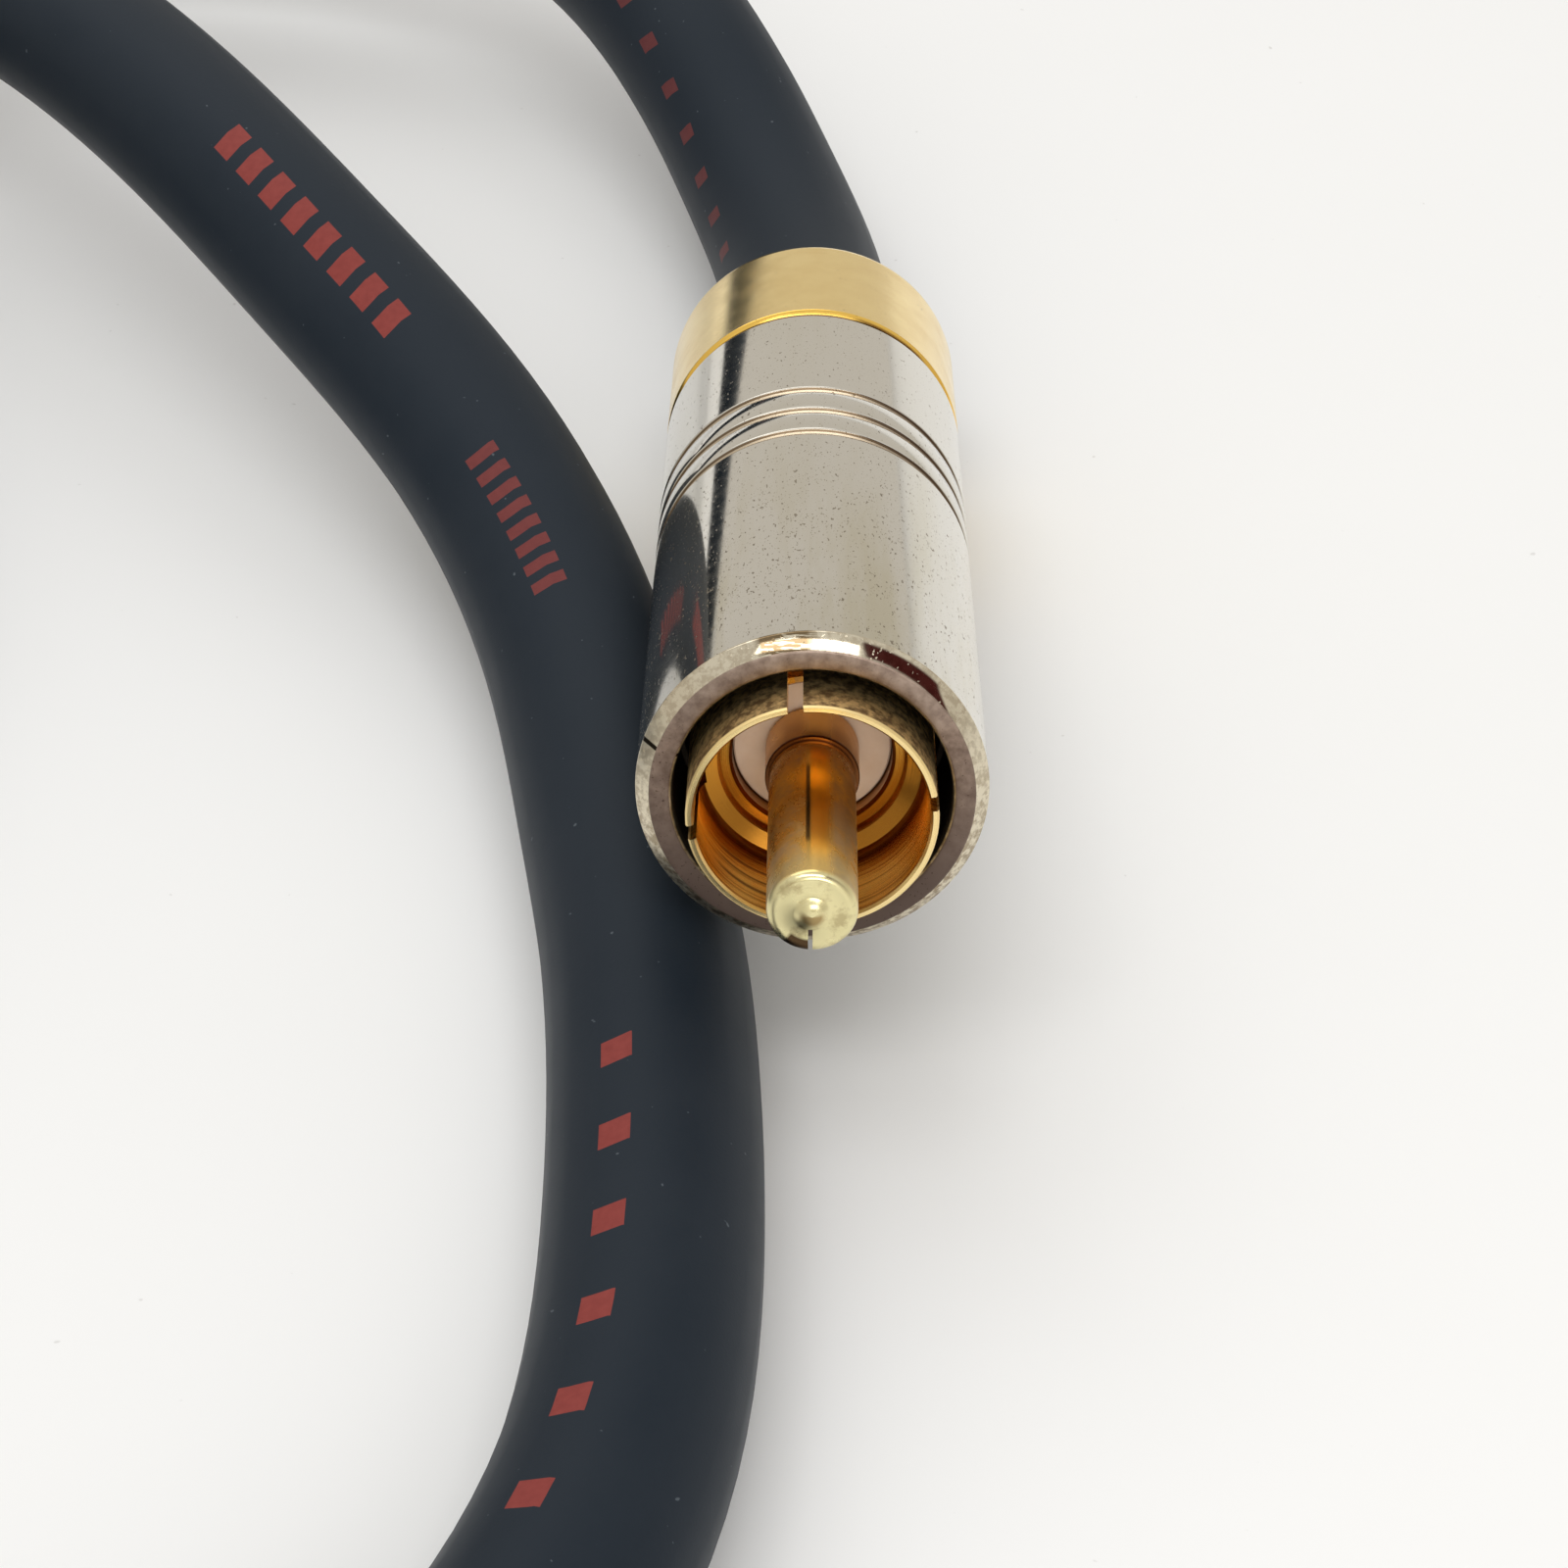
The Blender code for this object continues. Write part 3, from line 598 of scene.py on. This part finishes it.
def stretched(tree, vector, *scale):
    made = tree.nodes.new("ShaderNodeMapping")
    return feed(tree, made, Vector=vector, Scale=scale)["Vector"]


# the chamfered front and the mouth's edge, the outside with its grooves, the rear and the bores
OUTSIDE, GROOVE_FLOOR = 6.5, 6.15
GROOVES = (18.4, 20.55, 22.7)
barrel_line = [(5.15, 0.12), (5.25, 0.02), (5.33, 0.0), (5.95, 0.0), (OUTSIDE, 0.55)]
for middle in GROOVES:
    barrel_line += [(OUTSIDE, middle - 0.3), (GROOVE_FLOOR, middle - 0.1)]
    barrel_line += [(GROOVE_FLOOR, middle + 0.1), (OUTSIDE, middle + 0.3)]
barrel_line += [
    (OUTSIDE, 30.9), (6.3, 31.1), (5.5, 31.1), (5.5, 12.0), (4.9, 12.0), (4.9, 5.6), (5.15, 5.6),
]
barrel = turn("barrel", barrel_line, 192)
soften(barrel, 0.05)
finish, tree, shader = new_material("nickel_silver", (0.62, 0.595, 0.54), 1.0, 0.10)
where, radius, turned, station = plug_place(tree)
# dark specks, drawn out along the barrel and thicker towards its front, over a yellow stain
ahead = ramp(tree, station, 13.0, 19.0, 1.0, 0.25)
amount = times(tree, ahead, mottle(tree, where, 0.45, 0.35, 0.65), 0.07)
amount = math_node(tree, "ADD", amount, 0.285)
drawn_out = stretched(tree, where, 1.0, 0.40, 1.0)
dots = specks(tree, drawn_out, 8.0, amount)
fine = specks(tree, drawn_out, 15.0, amount)
stain = times(
    tree,
    mottle(tree, stretched(tree, where, 1.0, 0.12, 1.0), 0.42, 0.42, 0.62),
    ramp(tree, station, 4.0, 20.0, 1.0, 0.2),
)
plate = blend(tree, stain, (0.70, 0.67, 0.60), (0.60, 0.555, 0.43))
plate = blend(tree, times(tree, fine, 0.65), plate, (0.24, 0.19, 0.11))
plate = blend(tree, times(tree, dots, 0.75), plate, (0.15, 0.11, 0.06))
# down a groove's rear wall the plate goes from dark brown to a paler gold line to a dark line:
# painted shade in the groove, with the gold line a painted highlight
SOFT = 0.015
behind = ramp(tree, station, 17.0, 17.1)
for low, high, colour in (
    (6.37, 6.465, (0.16, 0.11, 0.065)),
    (6.31, 6.37, (0.52, 0.42, 0.29)),
    (6.10, 6.31, (0.12, 0.085, 0.055)),
):
    here = band(tree, radius, (low - SOFT, low + SOFT), (high - SOFT, high + SOFT))
    plate = blend(tree, times(tree, here, behind), plate, colour)
# the chamfer is stained and pitted, its stain made darker towards the underside as painted shade,
# with dark scores in the bright patch at its top and one nick at its left
bevel = ramp(tree, station, 0.60, 0.64, 1.0, 0.0)
low_down = ramp(tree, away(tree, turned), 1.2, 2.3)
stain_and_underside_shade = mottle(tree, where, 3.2, 0.44, 0.58)
stain_and_underside_shade = times(tree, stain_and_underside_shade, ramp(tree, low_down, 0.0, 1.0, 0.40, 1.0))
plate = blend(tree, bevel, plate, (0.74, 0.67, 0.52))
plate = blend(tree, times(tree, bevel, stain_and_underside_shade), plate, (0.32, 0.245, 0.15))
scores = noise(tree, stretched(tree, where, 0.35, 3.0, 3.0), 2.2, 2.0, 0.6)
scores = times(
    tree,
    bevel,
    ramp(tree, scores, 0.44, 0.48),
    band(tree, turned, (-0.34, -0.30), (-0.04, 0.06)),
    0.9,
)
plate = blend(tree, scores, plate, (0.16, 0.10, 0.04))
nick = ramp(tree, away(tree, turned, -1.24), 0.012, 0.017, 1.0, 0.0)
plate = blend(tree, times(tree, bevel, nick), plate, (0.02, 0.015, 0.01))
# the flat face is rubbed down to a brownish grey and darker towards its underside as painted
# shade, and the mouth's inside behind it is painted dark as shade
face = ramp(tree, station, 0.03, 0.05, 1.0, 0.0)
rub = mottle(tree, where, 1.8, 0.35, 0.65)
worn = blend(tree, rub, (0.23, 0.165, 0.13), (0.42, 0.325, 0.265))
worn = blend(tree, low_down, worn, (0.17, 0.125, 0.105))
plate = blend(tree, face, plate, worn)
inside = ramp(tree, radius, 5.16, 5.2, 1.0, 0.0)
plate = blend(tree, inside, plate, (0.05, 0.04, 0.03))
aside = ramp(tree, away(tree, turned), 0.95, 1.10)
rough = math_node(
    tree,
    "ADD",
    ramp(tree, rub, 0.0, 1.0, 0.055, 0.10),
    times(tree, face, 0.34),
    times(tree, bevel, aside, 0.30),
    times(tree, behind, ramp(tree, radius, 6.44, 6.47, 0.25, 0.0)),
    times(tree, dots, 0.3),
    times(tree, inside, 0.4),
)
feed(tree, shader, Base_Color=plate, Roughness=rough)
barrel.data.materials.append(finish)
fit_both(barrel, "barrel")


# Rear collar: gold-plated brass nut behind the barrel, its rear edge turned round.
# Its spigot goes into the barrel and holds the clamp on the jacket.
collar_line = [(4.3, 25.8), (5.2, 25.8), (5.2, 31.4), (6.25, 31.4), (OUTSIDE, 31.65)]
for k in range(7):
    part = math.radians(15 * k)
    collar_line.append((OUTSIDE - 1.0 + math.cos(part), REAR - 1.0 + math.sin(part)))
collar_line += [(4.5, REAR), (4.3, REAR - 0.2)]
collar = turn("rear_collar", collar_line, 192)
soften(collar, 0.04)
finish, tree, shader = new_material("collar_gold", (0.78, 0.60, 0.30), 1.0, 0.16)
plug = place_group(tree, PLUG_PLACE)
where, station = plug["Point"], plug["Station"]
cloud = mottle(tree, where, 0.5, 0.35, 0.7)
gold = blend(tree, cloud, (0.96, 0.74, 0.32), (0.88, 0.65, 0.26))
# a warmer lip in front, and the joint with the barrel dark
lip = ramp(tree, station, 31.64, 31.70, 1.0, 0.0)
gold = blend(tree, lip, gold, (0.92, 0.58, 0.12))
joint = ramp(tree, station, 31.46, 31.50, 1.0, 0.0)
gold = blend(tree, joint, gold, (0.05, 0.03, 0.02))
dots = times(tree, specks(tree, where, 7.0, 0.245), 0.7)
feed(
    tree,
    shader,
    Base_Color=blend(tree, dots, gold, (0.12, 0.07, 0.03)),
    Roughness=ramp(tree, cloud, 0.0, 1.0, 0.15, 0.24),
)
collar.data.materials.append(finish)
fit_both(collar, "rear_collar")


# Ground ring: thin gold-plated sleeve with four slots, so that it springs on to the socket.
# It is turned in one with the threaded body, the flange and the half-round solder tail behind it.
ring_line = [
    (4.3, -1.5), (4.38, -1.6), (4.54, -1.6), (4.6, -1.5), (4.6, 12.3), (5.2, 12.3), (5.2, 13.5),
    (4.4, 13.5), (4.4, 15.0), (3.6, 15.0), (3.6, 19.6), (3.0, 19.6), (3.0, 14.5), (3.9, 14.5),
    (3.9, 4.4), (3.0, 4.4), (3.0, 3.3), (3.12, 3.15), (3.45, 3.15), (3.55, 2.75), (4.1, 2.5),
    (4.3, 2.1),
]
ring = turn("ground_ring", ring_line, 176)
SLOTS_TURN = math.radians(-8)
SLOT_SIDE = 0.58 / 2
for k in range(4):
    low, high = (-SLOT_SIDE, -REAR - 1.9, 4.0), (SLOT_SIDE, -REAR + 3.9, 4.9)
    box_cut(ring, low, high, SLOTS_TURN + math.radians(90 * k))
# the upper half of the tail is cut away
box_cut(ring, (-3.9, -REAR + 15.0, 0.0), (3.9, -REAR + 19.9, 3.9))


def lines_across(tree, value, solid, lines):
    """Soft lines across a value, each of (middle, half width), solid in that share of it."""
    drawn = [
        ramp(tree, away(tree, value, middle), wide * solid, wide, 1.0, 0.0)
        for middle, wide in lines
    ]
    return math_node(tree, "MAXIMUM", *drawn)


finish, tree, shader = new_material("ring_gold", (0.85, 0.56, 0.16), 1.0, 0.25)
where, radius, turned, station = plug_place(tree)
outer = ramp(tree, radius, 4.50, 4.56)
# fine lines that the turning left
turning = tree.nodes.new("ShaderNodeTexNoise")
turning.noise_dimensions = "1D"
cuts = feed(
    tree, turning, W=math_node(tree, "ADD", station, radius), Scale=5.0, Detail=3.0
)["Fac"]
warm = mottle(tree, where, 0.5, 0.35, 0.65)
bright = blend(tree, warm, (1.0, 0.76, 0.20), (1.0, 0.62, 0.13))
bright = blend(tree, ramp(tree, cuts, 0.38, 0.50, 0.6, 0.0), bright, (0.40, 0.17, 0.03))
# painted shade: the bore is coloured browner behind its rim and at its bottom, most of all low
# down, with dark lines on the steps at its bottom
lower = ramp(tree, away(tree, turned), 1.25, 1.9, 0.55, 1.0)
bore_shade = times(tree, ramp(tree, station, 0.4, 1.4), lower)
bright = blend(tree, bore_shade, bright, (0.62, 0.31, 0.042))
deep = ramp(tree, station, 1.9, 2.1)
steps = lines_across(tree, radius, 0.5, ((3.00, 0.10), (3.42, 0.07), (4.12, 0.09)))
bright = blend(tree, times(tree, steps, deep), bright, (0.16, 0.06, 0.015))
bright = blend(tree, times(tree, deep, lower), bright, (0.40, 0.17, 0.022))
# a few dark crescents low on the left inside, where the tool or a socket has marked the bore
marks = lines_across(tree, station, 0.3, ((-0.35, 0.16), (0.35, 0.10), (1.05, 0.12)))
sector = ramp(tree, away(tree, turned, -2.62), 0.30, 0.48, 1.0, 0.0)
bright = blend(tree, times(tree, marks, sector, 0.8), bright, (0.10, 0.035, 0.01))
# the outside is tarnished, and the end of the top slot is darkened as painted shade
tarnish = mottle(tree, where, 2.8, 0.40, 0.60)
dull = blend(tree, tarnish, (0.26, 0.17, 0.08), (0.80, 0.58, 0.27))
gold = blend(tree, outer, bright, dull)
slot_end_shade = times(
    tree,
    band(tree, station, (2.0, 2.1), (4.0, 4.1)),
    ramp(tree, away(tree, turned, SLOTS_TURN), 0.064, 0.070, 1.0, 0.0),
    ramp(tree, radius, 3.0, 3.05),
)
gold = blend(tree, slot_end_shade, gold, (0.36, 0.23, 0.11))
rim = times(
    tree,
    ramp(tree, station, -1.52, -1.46, 1.0, 0.0),
    ramp(tree, radius, 4.2, 4.25),
)
feed(
    tree,
    shader,
    Base_Color=blend(tree, rim, gold, (0.93, 0.72, 0.34)),
    Roughness=ramp(tree, outer, 0.0, 1.0, 0.24, 0.45),
    Normal=bump(tree, cuts, 0.02 * MM, 0.5),
)
ring.data.materials.append(finish)
fit_both(ring, "ground_ring")


# Pin insulator: a turned plug of off-white plastic, pressed into the ground body from behind.
# Its nose is the pale disc round the pin.
insulator = turn(
    "pin_insulator",
    [(1.5, 3.9), (2.9, 3.9), (2.96, 3.96), (2.96, 4.7), (3.6, 4.7), (3.6, 14.2), (1.5, 14.2)],
    96,
)
finish, tree, shader = new_material("disc_plastic", (0.62, 0.50, 0.38), 0.0, 0.42)
where = place_group(tree, PLUG_PLACE)["Point"]
cloud = mottle(tree, where, 1.0, 0.3, 0.7)
tone = blend(tree, cloud, (0.97, 0.79, 0.63), (0.90, 0.70, 0.53))
dots = specks(tree, where, 3.0, 0.235)
feed(tree, shader, Base_Color=blend(tree, dots, tone, (0.12, 0.06, 0.03)))
insulator.data.materials.append(finish)
fit_both(insulator, "pin_insulator")


# Centre pin: gold-plated brass, its tip turned to a small pip, with a slit in its underside.
# A shoulder stops it on the disc, and the lead's core is soldered into the cup at its rear.
pin_line = [
    (ON_AXIS, -8.4), (0.20, -8.39), (0.36, -8.35), (0.50, -8.28), (0.60, -8.19), (0.70, -8.16),
    (1.25, -8.13),
]
for k in range(1, 7):
    part = math.radians(15 * k)
    pin_line.append((1.25 + 0.35 * math.sin(part), -7.8 - 0.35 * math.cos(part)))
pin_line += [
    (1.6, 1.4), (1.72, 1.4), (1.75, 1.45), (1.75, 3.6), (1.2, 3.6), (1.2, 14.5), (1.7, 14.5),
    (1.7, 18.3), (1.0, 18.3), (1.0, 15.3), (ON_AXIS, 15.3),
]
pin = turn("center_pin", pin_line, 128)
# close the small ring of points that is left at the bottom of the cup
bpy.ops.object.mode_set(mode="EDIT")
bpy.ops.mesh.select_all(action="DESELECT")
bpy.ops.mesh.select_non_manifold()
bpy.ops.mesh.edge_face_add()
bpy.ops.mesh.select_all(action="SELECT")
bpy.ops.mesh.normals_make_consistent(inside=False)
bpy.ops.object.mode_set(mode="OBJECT")
# the slit, which opens a little to the left of the middle
box_cut(pin, (-0.14, -REAR - 8.7, -1.9), (0.02, -REAR - 3.4, -0.62))
finish, tree, shader = new_material("pin_gold", (0.85, 0.56, 0.16), 1.0, 0.2)
where, radius, turned, station = plug_place(tree)
# the shaft's sides are tarnished and darkened as painted shade, and its top is left bright as a
# painted highlight, with one dark line along it
tarnish = mottle(tree, where, 0.7, 0.42, 0.60)
aside = ramp(tree, away(tree, turned, 0.12), 0.16, 0.42)
grey = times(tree, aside, ramp(tree, tarnish, 0.0, 1.0, 0.35, 0.95))
shaft = blend(tree, grey, (1.0, 0.66, 0.15), (0.56, 0.39, 0.20))
dark_line = times(
    tree,
    ramp(tree, away(tree, turned, -0.10), 0.03, 0.06, 1.0, 0.0),
    band(tree, station, (-6.0, -5.6), (-0.6, -0.2)),
    0.85,
)
shaft = blend(tree, dark_line, shaft, (0.10, 0.05, 0.02))
# it is paler towards its tip, with painted shade as a dark line round the shoulder's front and
# browner behind that
pale = ramp(tree, station, -7.2, -6.2, 0.55, 0.0)
shaft = blend(tree, pale, shaft, (0.62, 0.52, 0.26))
shoulder = band(tree, station, (1.25, 1.35), (1.50, 1.60))
shaft = blend(tree, shoulder, shaft, (0.16, 0.06, 0.02))
root = ramp(tree, station, 1.50, 1.60, 0.0, 0.8)
shaft = blend(tree, root, shaft, (0.60, 0.30, 0.08))
# the end is stained and dark at one edge, and the lower half of its pip is darkened as painted
# shade
spots = times(tree, mottle(tree, where, 1.5, 0.52, 0.66), 0.6)
cap = blend(tree, spots, (0.80, 0.72, 0.40), (0.42, 0.33, 0.16))
dark_edge = times(
    tree,
    band(tree, turned, (-3.10, -3.05), (-2.45, -2.35)),
    ramp(tree, radius, 1.02, 1.12),
)
cap = blend(tree, dark_edge, cap, (0.10, 0.06, 0.03))
pip = times(
    tree,
    ramp(tree, radius, 0.30, 0.50, 1.0, 0.0),
    ramp(tree, away(tree, turned), 0.9, 1.6),
    0.8,
)
cap = blend(tree, pip, cap, (0.30, 0.18, 0.06))
end_on = ramp(tree, station, -8.0, -7.85, 1.0, 0.0)
feed(
    tree,
    shader,
    Base_Color=blend(tree, end_on, shaft, cap),
    Roughness=ramp(tree, grey, 0.0, 1.0, 0.20, 0.38),
)
pin.data.materials.append(finish)
fit_both(pin, "center_pin")


# Inside the barrel, out of sight: the clamp on the jacket, the insulating sleeve and the lead's
# stripped layers. Their solids keep their shapes and get the finishes of the real ones.
for ending, colour, metallic, roughness in (
    ("cable_clamp", (0.78, 0.58, 0.26), 1.0, 0.25),
    ("inner_liner", (0.50, 0.36, 0.16), 0.0, 0.35),
    ("jacket_end", (0.021, 0.030, 0.042), 0.0, 0.55),
    ("braid_end", (0.72, 0.38, 0.24), 1.0, 0.35),
    ("dielectric_end", (0.80, 0.79, 0.76), 0.0, 0.5),
    ("core_wire", (0.72, 0.38, 0.24), 1.0, 0.3),
):
    finish, tree, shader = new_material(f"{ending}_finish", colour, metallic, roughness)
    place = tree.nodes.new("ShaderNodeTexCoord").outputs["Object"]
    darker = tuple(value * 0.7 for value in colour)
    grain = noise(tree, place, 900.0, 3.0)
    feed(tree, shader, Base_Color=blend(tree, grain, colour, darker))
    for side in ("near", "far"):
        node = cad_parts[f"{side}_{ending}"]
        node.data.materials.clear()
        node.data.materials.append(finish)
